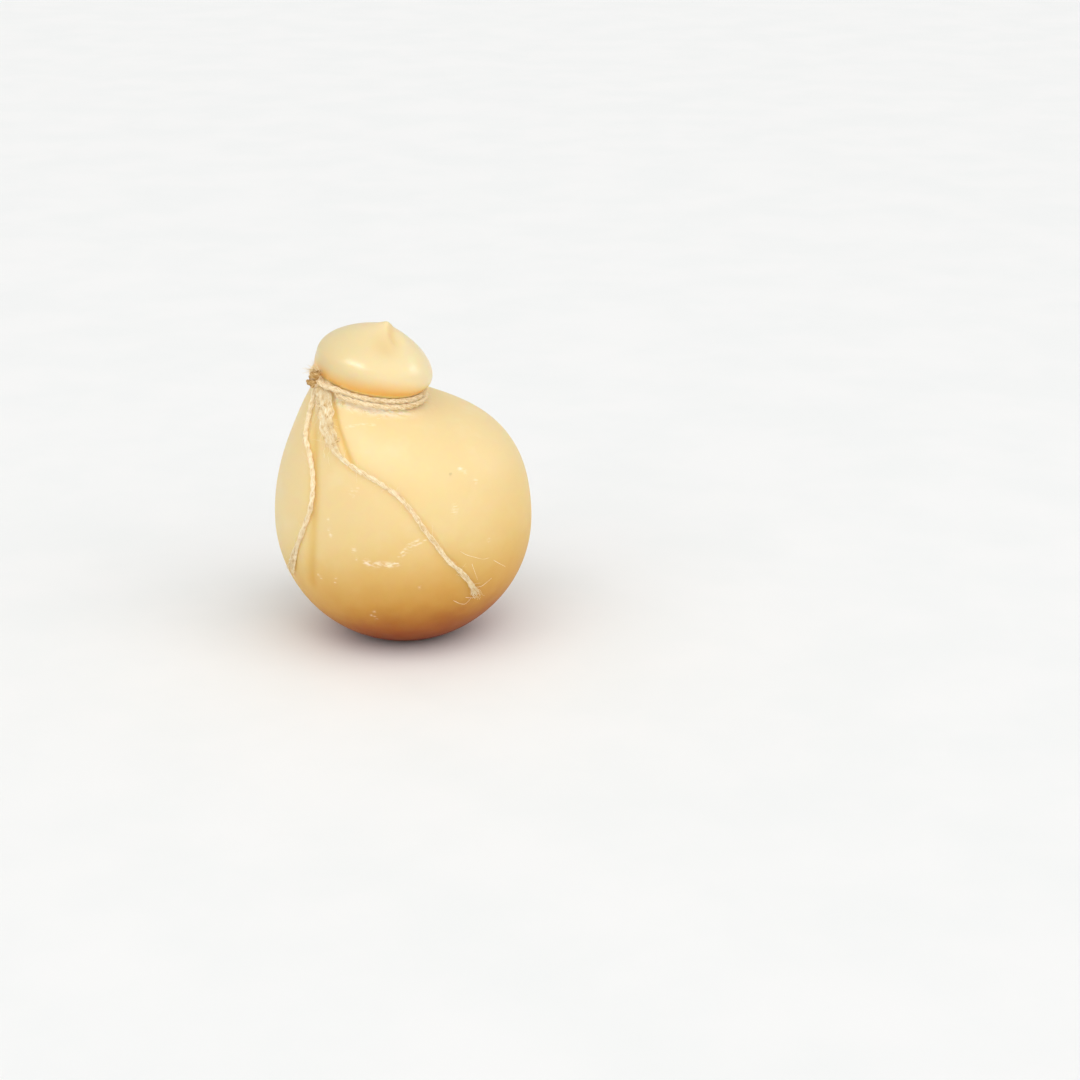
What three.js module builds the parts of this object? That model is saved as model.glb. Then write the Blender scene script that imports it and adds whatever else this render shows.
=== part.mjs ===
// Caciocavallo: a pear-shaped stretched-curd cheese, hung by a twine tied round its neck.
// Millimetres, +Z up, the foot on z = 0, and the front seen along +Y.
// A turn is an angle in degrees round the upright axis: 0 is the right side and 270 the front.

import * as THREE from 'three';
import { LoftGeometry } from 'three/addons/geometries/LoftGeometry.js';

// Half outline of the upright cheese, as radius and height
const bellyRadius = 64.5;
const bellyHeight = 61.4;
const shoulderRise = 56;
const neckRadius = 25.6;
const neckHeight = 131.6;
const neckBelow = 3;
const neckAbove = 2.6;
const neckFlare = 4.3;
const headRadius = 29.3;
const headHeight = 140.7;
const headTuck = 0.6;
const headSwell = 0.12;
const domeRise = 11;
const domeFlat = 4;
const crownHeight = 161.8;

// Lean: the neck and head stand left of the belly, tip to the right and nod forward
const leanStart = 66;
const leanEnd = 128;
const neckShift = -16.3;
const shiftPower = 4;
const neckTip = 16.1;
const neckNod = 4;
const tipPower = 8.5;

// The groove round the neck tips less than the head above it
const neckSettle = 4;
const settleFrom = { low: 125, high: 130.5 };
const settleTo = { low: 135, high: 140 };

// Furrows below the knot: each runs along turn - curl * (height - middle) ** 2
const furrows = [
  { turn: 229.4, middle: 74, curl: 0.006, low: 34, high: 120, depth: 1, width: 3.4 },
  { turn: 254, middle: 80.8, curl: 0.0114, low: 98, high: 132, depth: 0.9, width: 2.2 },
];
const furrowFade = 9;

// Slow unevenness of the hand-shaped side, which dies out at the foot and at the neck
const waves = [
  { lobes: 2, amount: 0.35, phase: 40, drift: 1.6 },
  { lobes: 3, amount: 0.25, phase: 110, drift: -2.3 },
];
const wavesFoot = { from: 4, to: 30 };
const wavesNeck = { from: 96, to: 122 };

// Crown of the head: a pinched tip, with a dish and a crease in front of it
const crownTip = { x: 0.6, y: -0.4, height: 1.5, width: 4.2 };
const crownDish = { x: 2.5, y: -14, height: -1.1, width: 6.5 };
const creaseLine = new THREE.QuadraticBezierCurve(
  new THREE.Vector2(3.4, -1.2),
  new THREE.Vector2(3.8, -10.2),
  new THREE.Vector2(11.4, -11.4),
);
const creaseDepth = 0.9;
const creaseWidth = 1.9;

// Twine: two turns round the neck, a knot, a frayed bundle below it, and two free tails
const twineRadius = 1.25;
const twineSides = 8;
const twineStep = 5.5;
const gap = 0.4;
const twineLift = twineRadius + gap;
const knotPlace = { turn: 215, radius: 32.8, height: 134 };
const knotLength = 10;
const knotRadius = 2.9;
const knotWraps = 3;
const knotRidge = 0.1;
const knotSlant = 16;

// The two turns on the neck run as a pair, which rolls over once between its left and right places
const neckStart = 222.5;
const neckSweep = 687.5;
const pairApart = 3;
const pairLeft = {
  turn: 222,
  radius: neckRadius + twineLift + 1.3,
  height: neckHeight + 1,
  angle: -30,
};
const pairRight = {
  turn: 250,
  radius: neckRadius + twineLift + 0.95,
  height: neckHeight - 0.7,
  angle: 112,
};

// Frayed bundle: turn, height, lift off the side, half width and half thickness of each station
const bundleStations = [
  [215.0, 126.6, 4.0, 2.2, 1.5],
  [217.6, 126.0, 2.6, 3.2, 1.6],
  [220.9, 125.2, 2.2, 4.0, 1.7],
  [224.4, 123.8, 2.1, 4.4, 1.7],
  [227.8, 121.7, 2.1, 4.0, 1.7],
  [230.8, 118.8, 2.0, 3.4, 1.6],
  [234.0, 115.6, 1.9, 2.9, 1.5],
  [236.8, 113.0, 1.8, 2.6, 1.5],
  [238.9, 110.6, 1.8, 2.2, 1.4],
  [240.8, 108.4, 1.7, 1.8, 1.3],
  [242.3, 106.7, 1.7, 1.4, 1.25],
];
const bundleSides = 14;

// Tails: turn, height and lift off the side at each point of the route
const tailLeftRoute = [
  [207.6, 125.6, 4.2],
  [208.0, 124.4, 3.0],
  [208.6, 122.6, 2.1],
  [210.0, 120.4, 1.8],
  [211.4, 117.4, 1.7],
  [212.6, 114.2, 1.7],
  [213.8, 111.4, 1.7],
  [216.0, 108.8, 1.7],
  [219.0, 106.0, 1.7],
  [221.4, 103.2, 1.7],
  [223.2, 100.2, 1.7],
  [225.4, 96.2, 1.7],
  [227.0, 90.8, 1.7],
  [227.6, 84.8, 1.7],
  [227.2, 79.2, 1.7],
  [226.0, 74.0, 1.7],
  [223.8, 68.4, 1.7],
  [221.0, 62.6, 1.7],
  [217.8, 56.6, 1.8],
  [214.4, 50.6, 2.1],
  [211.0, 45.0, 2.6],
];
const tailRightRoute = [
  [243.1, 105.9, 1.7],
  [245.2, 104.3, 1.7],
  [248.2, 102.9, 1.7],
  [251.8, 101.8, 1.7],
  [255.0, 100.5, 1.7],
  [258.2, 99.1, 1.7],
  [261.5, 97.6, 1.7],
  [264.4, 96.1, 1.7],
  [267.0, 94.5, 1.7],
  [269.6, 92.6, 1.7],
  [272.2, 90.3, 1.7],
  [274.5, 87.8, 1.7],
  [276.5, 85.0, 1.7],
  [278.3, 82.1, 1.7],
  [280.1, 79.0, 1.7],
  [281.7, 75.9, 1.7],
  [283.6, 72.7, 1.7],
  [286.0, 68.9, 1.7],
  [288.3, 64.8, 1.7],
  [290.5, 61.0, 1.7],
  [292.8, 57.7, 1.7],
  [295.1, 54.9, 1.7],
  [297.5, 52.1, 1.8],
  [300.0, 48.9, 2.0],
  [302.6, 45.4, 2.3],
  [305.2, 41.6, 2.6],
];

// Mesh of the cheese: columns stand closer together where the furrows are
const columns = 88;
const crowdTurn = 236;
const crowdAmount = 0.45;
const rows = { belly: 16, shoulder: 20, neck: 2, underside: 6, dome: 13 };
const topRow = 0.985;

const degree = Math.PI / 180;
const { clamp, lerp, mapLinear, smoothstep } = THREE.MathUtils;

// Half outline, one curve for each stretch from the foot to the crown
const neckLow = neckHeight - neckBelow;
const neckHigh = neckHeight + neckAbove;
const bellyCurve = new THREE.EllipseCurve(
  0, bellyHeight, bellyRadius, bellyRadius, -Math.asin(bellyHeight / bellyRadius), 0,
);
const shoulderCurve = new THREE.CubicBezierCurve(
  new THREE.Vector2(bellyRadius, bellyHeight),
  new THREE.Vector2(bellyRadius, bellyHeight + shoulderRise),
  new THREE.Vector2(neckRadius, neckLow - neckFlare),
  new THREE.Vector2(neckRadius, neckLow),
);
const neckCurve = new THREE.LineCurve(
  new THREE.Vector2(neckRadius, neckLow),
  new THREE.Vector2(neckRadius, neckHigh),
);
const undersideCurve = new THREE.CubicBezierCurve(
  new THREE.Vector2(neckRadius, neckHigh),
  new THREE.Vector2(neckRadius, neckHigh + headTuck),
  new THREE.Vector2(headRadius, lerp(neckHigh, headHeight, headSwell)),
  new THREE.Vector2(headRadius, headHeight),
);
const domeCurve = new THREE.CubicBezierCurve(
  new THREE.Vector2(headRadius, headHeight),
  new THREE.Vector2(headRadius, headHeight + domeRise),
  new THREE.Vector2(domeFlat, crownHeight),
  new THREE.Vector2(0, crownHeight),
);

// Radius of the side at a height between the foot and the neck
const sideLine = [...bellyCurve.getPoints(60), ...shoulderCurve.getPoints(120).slice(1)];

function sideRadius(height) {
  const next = Math.max(sideLine.findIndex((point) => point.y > height), 1);
  const low = sideLine[next - 1];
  const high = sideLine[next];
  return mapLinear(height, low.y, high.y, low.x, high.x);
}

// Point of the leaning cheese for a turn, radius and height of the upright one
function place(turn, radius, height) {
  const rise = clamp((height - leanStart) / (leanEnd - leanStart), 0, 1);
  const above = Math.max(height - leanEnd, 0);
  const settleEnd = 1 - smoothstep(height, settleTo.low, settleTo.high);
  const settle = smoothstep(height, settleFrom.low, settleFrom.high) * settleEnd;
  const tip = neckTip * rise ** tipPower - neckSettle * settle;
  const nod = neckNod * rise ** tipPower;
  const angle = turn * degree;
  const point = new THREE.Vector3(radius * Math.cos(angle), radius * Math.sin(angle), above);
  point.applyEuler(new THREE.Euler(nod * degree, tip * degree, 0));
  point.x += neckShift * rise ** shiftPower;
  point.z += height - above;
  return point;
}

// Change of radius that the furrows and waves make
function sideRelief(turn, radius, height) {
  let change = 0;
  for (const { turn: middleTurn, middle, curl, low, high, depth, width } of furrows) {
    const line = middleTurn - curl * (height - middle) ** 2;
    const aside = (turn - line) * degree * radius;
    const lowFade = smoothstep(height, low, low + furrowFade);
    const fade = lowFade * (1 - smoothstep(height, high - furrowFade, high));
    change -= depth * fade * Math.exp(-((aside / width) ** 2));
  }
  const footCalm = smoothstep(height, wavesFoot.from, wavesFoot.to);
  const calm = footCalm * (1 - smoothstep(height, wavesNeck.from, wavesNeck.to));
  for (const { lobes, amount, phase, drift } of waves) {
    change += amount * calm * Math.sin((lobes * turn + phase + drift * height) * degree);
  }
  return change;
}

// Change of height that the tip, dish and crease make on the dome
const creasePoints = creaseLine.getPoints(20);

function crownRelief(turn, radius, height) {
  if (height <= headHeight) return 0;
  const spot = new THREE.Vector2(radius * Math.cos(turn * degree), radius * Math.sin(turn * degree));
  let change = 0;
  for (const { x, y, height: amount, width } of [crownTip, crownDish]) {
    change += amount * Math.exp(-((spot.x - x) ** 2 + (spot.y - y) ** 2) / width ** 2);
  }
  const toCrease = Math.min(...creasePoints.map((point) => point.distanceTo(spot)));
  return change - creaseDepth * Math.exp(-((toCrease / creaseWidth) ** 2));
}

function skin(turn, radius, height) {
  const outer = radius + sideRelief(turn, radius, height);
  const upper = height + crownRelief(turn, radius, height);
  return place(turn, outer, upper);
}

// Outward direction of the side, and a point that stands off it by a lift
function sideNormal(turn, height) {
  const at = (t, h) => skin(t, sideRadius(h), h);
  const round = at(turn + 0.5, height).sub(at(turn - 0.5, height));
  const upward = at(turn, height + 0.5).sub(at(turn, height - 0.5));
  return round.cross(upward).normalize();
}

function offSide(turn, height, lift) {
  return skin(turn, sideRadius(height), height).addScaledVector(sideNormal(turn, height), lift);
}

// Cheese: rings of the half outline from the foot to the crown, in one skin
function makeCheese() {
  const outline = [
    ...bellyCurve.getSpacedPoints(rows.belly),
    ...shoulderCurve.getSpacedPoints(rows.shoulder).slice(1),
    ...neckCurve.getSpacedPoints(rows.neck).slice(1),
    ...undersideCurve.getSpacedPoints(rows.underside).slice(1),
  ];
  for (let row = 1; row <= rows.dome; row += 1) {
    outline.push(domeCurve.getPoint((topRow * row) / rows.dome));
  }
  const turns = [];
  for (let column = 0; column < columns; column += 1) {
    const even = (360 * column) / columns;
    turns.push(even - (crowdAmount / degree) * Math.sin((even - crowdTurn) * degree));
  }
  const rings = outline.map((point) => turns.map((turn) => skin(turn, point.x, point.y)));
  return new LoftGeometry(rings, { capStart: true, capEnd: true });
}

// Round twine along a route of points
function makeTwine(points) {
  const route = new THREE.CatmullRomCurve3(points);
  const section = new THREE.Shape();
  for (let side = 0; side < twineSides; side += 1) {
    const angle = (2 * Math.PI * side) / twineSides;
    section.lineTo(twineRadius * Math.cos(angle), twineRadius * Math.sin(angle));
  }
  const steps = Math.round(route.getLength() / twineStep);
  return new THREE.ExtrudeGeometry(section, { extrudePath: route, steps, bevelEnabled: false });
}

// Neck twine: from the knot twice round the neck, the second turn crossing under the first
function makeNeckTwine() {
  const points = [];
  const stops = 96;
  for (let stop = 0; stop <= stops; stop += 1) {
    const swept = (neckSweep * stop) / stops;
    const turn = neckStart + (swept % 360);
    const cross = smoothstep(turn, pairLeft.turn, pairRight.turn);
    const angle = lerp(pairLeft.angle, pairRight.angle, cross) * degree;
    const aside = swept < 360 ? pairApart / 2 : -pairApart / 2;
    const radius = lerp(pairLeft.radius, pairRight.radius, cross) + aside * Math.cos(angle);
    const height = lerp(pairLeft.height, pairRight.height, cross) + aside * Math.sin(angle);
    points.push(place(turn, radius, height));
  }
  return makeTwine(points);
}

// Knot: a short barrel of wraps that stands over the neck twine
function makeKnot() {
  const profile = [];
  const stops = 18;
  for (let stop = 0; stop <= stops; stop += 1) {
    const along = -1 + (2 * stop) / stops;
    const ridge = 1 + knotRidge * Math.cos(Math.PI * knotWraps * (along + 1));
    const round = Math.sqrt(Math.max(1 - along ** 2, 0));
    const radius = (knotRadius * round * ridge) / (1 + knotRidge);
    profile.push(new THREE.Vector2(radius, (along * knotLength) / 2));
  }
  return new THREE.LatheGeometry(profile, 16);
}

function placeKnot(mesh) {
  const { turn, radius, height } = knotPlace;
  const slant = knotSlant * degree;
  const foot = place(turn, radius + Math.sin(slant), height - Math.cos(slant));
  mesh.position.copy(place(turn, radius, height));
  mesh.quaternion.setFromUnitVectors(new THREE.Vector3(0, -1, 0), foot.sub(mesh.position).normalize());
}

// Frayed bundle: a flattened spindle of loose fibres lying on the side
function makeBundle() {
  const centres = bundleStations.map(([turn, height, lift]) => offSide(turn, height, lift));
  const rings = bundleStations.map(([turn, height, , wide, thick], station) => {
    const before = centres[Math.max(station - 1, 0)];
    const after = centres[Math.min(station + 1, centres.length - 1)];
    const out = sideNormal(turn, height);
    const across = after.clone().sub(before).cross(out).normalize();
    const ring = [];
    for (let side = 0; side < bundleSides; side += 1) {
      const angle = (-2 * Math.PI * side) / bundleSides;
      const point = centres[station].clone().addScaledVector(across, wide * Math.cos(angle));
      ring.push(point.addScaledVector(out, thick * Math.sin(angle)));
    }
    return ring;
  });
  return new LoftGeometry(rings, { capStart: true, capEnd: true });
}

function makeTail(route) {
  return makeTwine(route.map(([turn, height, lift]) => offSide(turn, height, lift)));
}

function addPiece(group, name, geometry, colour, roughness) {
  const material = new THREE.MeshStandardMaterial({ color: colour, roughness, metalness: 0 });
  const mesh = new THREE.Mesh(geometry, material);
  mesh.name = name;
  group.add(mesh);
  return mesh;
}

const cheeseColour = 0xf3dca0;
const twineColour = 0xe2cfa4;
const caciocavallo = new THREE.Group();

addPiece(caciocavallo, 'cheese', makeCheese(), cheeseColour, 0.35);
addPiece(caciocavallo, 'neck_twine', makeNeckTwine(), twineColour, 0.9);
placeKnot(addPiece(caciocavallo, 'knot', makeKnot(), twineColour, 0.9));
addPiece(caciocavallo, 'frayed_bundle', makeBundle(), twineColour, 0.95);
addPiece(caciocavallo, 'tail_left', makeTail(tailLeftRoute), twineColour, 0.9);
addPiece(caciocavallo, 'tail_right', makeTail(tailRightRoute), twineColour, 0.9);

export default caciocavallo;
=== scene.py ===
import math
import bpy
import numpy as np
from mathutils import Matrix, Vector


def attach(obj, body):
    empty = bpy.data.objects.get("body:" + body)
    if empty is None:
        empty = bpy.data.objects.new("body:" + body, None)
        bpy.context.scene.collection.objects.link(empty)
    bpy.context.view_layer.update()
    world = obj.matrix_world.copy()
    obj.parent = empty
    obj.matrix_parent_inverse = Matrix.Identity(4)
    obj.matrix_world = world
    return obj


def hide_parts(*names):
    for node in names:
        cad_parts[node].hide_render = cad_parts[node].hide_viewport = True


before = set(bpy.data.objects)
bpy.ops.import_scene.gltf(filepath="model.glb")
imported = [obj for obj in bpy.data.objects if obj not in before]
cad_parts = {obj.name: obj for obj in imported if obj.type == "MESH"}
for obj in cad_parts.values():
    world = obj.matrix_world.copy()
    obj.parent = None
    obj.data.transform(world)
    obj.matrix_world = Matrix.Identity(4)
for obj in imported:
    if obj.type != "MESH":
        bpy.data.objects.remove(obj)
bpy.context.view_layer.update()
print("frame loaded")


# camera, at the angle of the photograph

cameraLook = {
    "place": (0.06893, -1.13239, 0.45915),
    "tilt": 70.0,        # degrees up from looking straight down
    "lens": 79.07,       # mm, as is the sensor
    "sensor": 36.0,
}


def link(thing):
    bpy.context.scene.collection.objects.link(thing)


def setCamera(look):
    data = bpy.data.cameras.new("photoCamera")
    data.lens = look["lens"]
    data.sensor_width = look["sensor"]
    camera = bpy.data.objects.new("photoCamera", data)
    camera.location = look["place"]
    camera.rotation_euler = (math.radians(look["tilt"]), 0, 0)
    link(camera)
    bpy.context.scene.camera = camera


setCamera(cameraLook)
print("camera set")


# form of the cheese: metres, and turns in degrees round the upright axis (270 is the front)

cheeseForm = {
    "bellyRadius": 0.0645, "bellyHeight": 0.0614, "shoulderRise": 0.056,
    "neckRadius": 0.0256, "neckHeight": 0.1316, "neckBelow": 0.003, "neckAbove": 0.0009, "neckFlare": 0.0043,
    "headRadius": 0.0293, "headHeight": 0.1407, "headTuck": 0.0006, "headSwell": 0.10,
    "domeRise": 0.011, "domeFlat": 0.004, "crownHeight": 0.1618,
    "leanStart": 0.066,          # the neck leans from here
    "leanEnd": 0.128,            # and is straight again from here up
    "neckShift": -0.0163, "shiftPower": 4,
    "neckTip": 16.1, "neckNod": 4, "tipPower": 8.5,      # degrees to the right and to the front
    "neckSettle": 4.0,           # the groove round the neck tips less than the head
    "settleFrom": (0.125, 0.1305),
    "settleTo": (0.135, 0.140),
    # each furrow's tint is painted shade in its groove
    "furrows": (
        {"mask": "furrow", "tint": 0.85, "turn": 229.4, "middle": 0.074, "curl": 6000,
         "low": 0.034, "high": 0.120, "depth": 0.0010, "width": 0.0034},
        {"mask": "fold", "tint": 0.8, "turn": 254, "middle": 0.0808, "curl": 11400,
         "low": 0.098, "high": 0.132, "depth": 0.0009, "width": 0.0022},
    ),
    "furrowFade": 0.009,
    "lowerCurl": 0.6,            # a furrow curls less below its middle
    "waves": ((2, 0.00035, 40, 1600), (3, 0.00025, 110, -2300)),   # lobes, amount, phase, drift
    "wavesFoot": (0.004, 0.030),
    "wavesNeck": (0.096, 0.122),
    "crownTip": (0.0006, -0.0004, 0.0015, 0.0042),     # x, y, height, width
    "crownDish": (0.0025, -0.014, -0.0011, 0.0065),
    "creaseLine": ((0.0034, -0.0012), (0.0038, -0.0102), (0.0114, -0.0114)),
    "creaseDepth": 0.0008,
    "creaseWidths": (0.0020, 0.0034),      # steep on the left, soft on the right
    "creaseFade": (0.25, 0.95),            # along the line
    "lipRise": 0.0003,           # the fold's edge on the left of the crease
    "lipPlace": 0.0028,
    "lipWidth": 0.0018,
    "columns": 345,
    "crowdTurn": 262,
    "crowdAmount": 0.55,
    "rows": (110, 110, 6, 14, 34),     # belly, shoulder, neck, underside, dome
}


def smoothStep(value, low, high):
    part = np.clip((value - low) / (high - low), 0, 1)
    return part * part * (3 - 2 * part)


def mixed(low, high, part):
    return low + (high - low) * part


def steps(count):   # even steps from 0 to 1
    return np.linspace(0, 1, count)


def unit(vectors):
    return vectors / np.linalg.norm(vectors, axis=-1, keepdims=True)


def bell(away, width):   # 1 in the middle, and soft to nothing
    return np.exp(-(away / width) ** 2)


def flatPlace(turn, radius):   # x and y of a turn and radius
    return radius * np.cos(np.radians(turn)), radius * np.sin(np.radians(turn))


def readAlong(at, stops, rows):   # rows of values, read between their stops
    return np.stack([np.interp(at, stops, part) for part in rows.T], axis=-1)


def bezier(corners, count):
    a, b, c, d = (np.array(corner) for corner in corners)
    t = steps(count)[:, None]
    return a * (1 - t) ** 3 + 3 * b * t * (1 - t) ** 2 + 3 * c * t ** 2 * (1 - t) + d * t ** 3


def evenPoints(points, count):
    walk = np.concatenate([[0], np.cumsum(np.linalg.norm(np.diff(points, axis=0), axis=1))])
    stops = np.linspace(0, walk[-1], count)
    return readAlong(stops, walk, points)


def halfOutline(form, stops=400):
    neckLow = form["neckHeight"] - form["neckBelow"]
    neckHigh = form["neckHeight"] + form["neckAbove"]
    wide, middle = form["bellyRadius"], form["bellyHeight"]
    slim, head, top = form["neckRadius"], form["headRadius"], form["headHeight"]
    arc = np.linspace(-math.asin(middle / wide), 0, stops)
    belly = np.stack([wide * np.cos(arc), middle + wide * np.sin(arc)], axis=1)
    shoulder = bezier(((wide, middle), (wide, middle + form["shoulderRise"]),
                       (slim, neckLow - form["neckFlare"]), (slim, neckLow)), stops)
    neck = np.array([(slim, neckLow), (slim, neckHigh)])
    under = bezier(((slim, neckHigh), (slim, neckHigh + form["headTuck"]),
                    (head, mixed(neckHigh, top, form["headSwell"])), (head, top)), stops // 2)
    dome = bezier(((head, top), (head, top + form["domeRise"]),
                   (form["domeFlat"], form["crownHeight"]), (0, form["crownHeight"])), stops)
    return belly, shoulder, neck, under, dome


outlineParts = halfOutline(cheeseForm)
sideLine = np.concatenate(outlineParts[:2])


def sideRadius(height):
    return np.interp(height, sideLine[:, 1], sideLine[:, 0])


def leaned(turn, radius, height):   # point of the leaning cheese
    form = cheeseForm
    rise = np.clip((height - form["leanStart"]) / (form["leanEnd"] - form["leanStart"]), 0, 1)
    above = np.maximum(height - form["leanEnd"], 0)
    settle = smoothStep(height, *form["settleFrom"]) * (1 - smoothStep(height, *form["settleTo"]))
    tip = np.radians(form["neckTip"] * rise ** form["tipPower"] - form["neckSettle"] * settle)
    nod = np.radians(form["neckNod"]) * rise ** form["tipPower"]
    x, y = flatPlace(turn, radius)
    tippedX = x * np.cos(tip) + above * np.sin(tip)
    tippedZ = above * np.cos(tip) - x * np.sin(tip)
    return np.stack(np.broadcast_arrays(
        tippedX + form["neckShift"] * rise ** form["shiftPower"],
        y * np.cos(nod) - tippedZ * np.sin(nod),
        y * np.sin(nod) + tippedZ * np.cos(nod) + height - above), axis=-1)


def furrowMask(turn, radius, height, furrow):
    fade, low, high = cheeseForm["furrowFade"], furrow["low"], furrow["high"]
    above = height - furrow["middle"]
    bend = furrow["curl"] * np.where(above < 0, cheeseForm["lowerCurl"], 1.0)
    aside = np.radians(turn - furrow["turn"] + bend * above ** 2) * radius
    ends = smoothStep(height, low, low + fade) * (1 - smoothStep(height, high - fade, high))
    return ends * bell(aside, furrow["width"])


def sideRelief(turn, radius, height):
    form = cheeseForm
    change = 0.0
    for furrow in form["furrows"]:
        change = change - furrow["depth"] * furrowMask(turn, radius, height, furrow)
    calm = smoothStep(height, *form["wavesFoot"]) * (1 - smoothStep(height, *form["wavesNeck"]))
    for lobes, amount, phase, drift in form["waves"]:
        change = change + amount * calm * np.sin(np.radians(lobes * turn + phase + drift * height))
    return change


def creaseSides(x, y):   # distance from the crease, side, place along it
    a, b, c = (np.array(corner) for corner in cheeseForm["creaseLine"])
    t = steps(41)[:, None]
    line = a * (1 - t) ** 2 + 2 * b * t * (1 - t) + c * t ** 2
    run = np.gradient(line, axis=0)
    away = np.stack([x, y], axis=-1)[..., None, :] - line
    nearest = np.argmin((away ** 2).sum(axis=-1), axis=-1)
    stepX, stepY = x - line[nearest, 0], y - line[nearest, 1]
    side = run[nearest, 0] * stepY - run[nearest, 1] * stepX
    return np.hypot(stepX, stepY), np.sign(side), t[nearest, 0]


def crownRelief(turn, radius, height):
    form = cheeseForm
    turn, radius, height = np.broadcast_arrays(turn, radius, height)
    x, y = flatPlace(turn, radius)
    change = np.zeros(x.shape)
    for middleX, middleY, amount, width in (form["crownTip"], form["crownDish"]):
        change += amount * bell(np.hypot(x - middleX, y - middleY), width)
    away, side, along = creaseSides(x, y)
    steep, soft = form["creaseWidths"]
    fade = 1 - smoothStep(along, *form["creaseFade"])
    change -= form["creaseDepth"] * fade * bell(away, np.where(side < 0, steep, soft))
    change += form["lipRise"] * fade * bell(away * side + form["lipPlace"], form["lipWidth"])
    return change * (height > form["headHeight"])


def onSide(turn, height):   # point of the rind below the neck
    radius = sideRadius(height)
    return leaned(turn, radius + sideRelief(turn, radius, height), height)


def sideNormal(turn, height, near=0.0005, nearTurn=0.5):
    along = onSide(turn + nearTurn, height) - onSide(turn - nearTurn, height)
    upward = onSide(turn, height + near) - onSide(turn, height - near)
    return unit(np.cross(along, upward))


def offSide(turn, height, lift):   # lifted off the rind
    turn, height, lift = np.broadcast_arrays(turn, height, lift)
    return onSide(turn, height) + sideNormal(turn, height) * lift[..., None]


# materials: small helpers, the shared group, then each finish

def tone(code):   # linear colour from a web code
    parts = [int(code[at:at + 2], 16) / 255 for at in (1, 3, 5)]
    return tuple(p / 12.92 if p <= 0.04045 else ((p + 0.055) / 1.055) ** 2.4 for p in parts) + (1.0,)


def feed(tree, socket, value):
    if isinstance(value, bpy.types.NodeSocket):
        tree.links.new(value, socket)
    else:
        socket.default_value = value


def addNode(tree, kind, **values):
    node = tree.nodes.new(kind)
    for label, value in values.items():
        feed(tree, node.inputs[label.replace("_", " ")], value)
    return node


def addMaths(tree, operation, first, second):
    node = tree.nodes.new("ShaderNodeMath")
    node.operation = operation
    node.use_clamp = operation == "ADD"
    feed(tree, node.inputs[0], first)
    feed(tree, node.inputs[1], second)
    return node.outputs[0]


def times(tree, first, second):
    return addMaths(tree, "MULTIPLY", first, second)


def plus(tree, first, second):
    return addMaths(tree, "ADD", first, second)


def addRange(tree, value, low, high, newLow=0.0, newHigh=1.0):
    node = addNode(tree, "ShaderNodeMapRange", Value=value, From_Min=low, From_Max=high,
                   To_Min=newLow, To_Max=newHigh)
    node.interpolation_type = "SMOOTHSTEP"
    return node.outputs["Result"]


def addBlend(tree, factor, under, over, mode="MIX"):
    node = tree.nodes.new("ShaderNodeMix")
    node.data_type = "RGBA"
    node.blend_type = mode
    for socket, value in ((node.inputs[0], factor), (node.inputs[6], under), (node.inputs[7], over)):
        feed(tree, socket, value)
    return node.outputs[2]


def addMask(tree, name):   # a value painted on the mesh's points
    node = tree.nodes.new("ShaderNodeAttribute")
    node.attribute_name = name
    return node.outputs["Fac"]


def makeCloudGroup():   # soft patches, stretched along each axis
    group = bpy.data.node_groups.new("cloudMask", "ShaderNodeTree")
    for label, kind, value in (("Size", "Float", 0.01), ("Stretch", "Vector", (1, 1, 1)),
                               ("Low", "Float", 0.4), ("High", "Float", 0.6), ("Detail", "Float", 3.0)):
        socket = group.interface.new_socket(label, in_out="INPUT", socket_type="NodeSocket" + kind)
        socket.default_value = value
    group.interface.new_socket("Mask", in_out="OUTPUT", socket_type="NodeSocketFloat")
    inlet, outlet = group.nodes.new("NodeGroupInput").outputs, group.nodes.new("NodeGroupOutput")
    place = group.nodes.new("ShaderNodeTexCoord")
    shrink = group.nodes.new("ShaderNodeVectorMath")
    shrink.operation = "DIVIDE"
    group.links.new(place.outputs["Object"], shrink.inputs[0])
    group.links.new(inlet["Stretch"], shrink.inputs[1])
    cloud = addNode(group, "ShaderNodeTexNoise", Vector=shrink.outputs[0], Detail=inlet["Detail"],
                    Scale=addMaths(group, "DIVIDE", 1.0, inlet["Size"]), Roughness=0.55)
    mask = addRange(group, cloud.outputs["Fac"], inlet["Low"], inlet["High"])
    group.links.new(mask, outlet.inputs["Mask"])
    return group


cloudGroup = makeCloudGroup()


def addCloud(tree, size, low, high, stretch=(1, 1, 1), detail=3.0):
    node = tree.nodes.new("ShaderNodeGroup")
    node.node_tree = cloudGroup
    for label, value in zip(("Size", "Low", "High", "Stretch", "Detail"), (size, low, high, stretch, detail)):
        feed(tree, node.inputs[label], value)
    return node.outputs["Mask"]


def newMaterial(name):
    material = bpy.data.materials.new(name)
    material.use_nodes = True
    return material, material.node_tree, material.node_tree.nodes["Principled BSDF"]


def setFinish(tree, shader, look, colour, rough, height):
    strength, distance = look["bump"]
    bump = addNode(tree, "ShaderNodeBump", Strength=strength, Distance=distance, Height=height)
    values = {"Base Color": colour, "Roughness": rough, "Normal": bump.outputs["Normal"], **look["shader"]}
    for label, value in values.items():
        feed(tree, shader.inputs[label], value)


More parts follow.
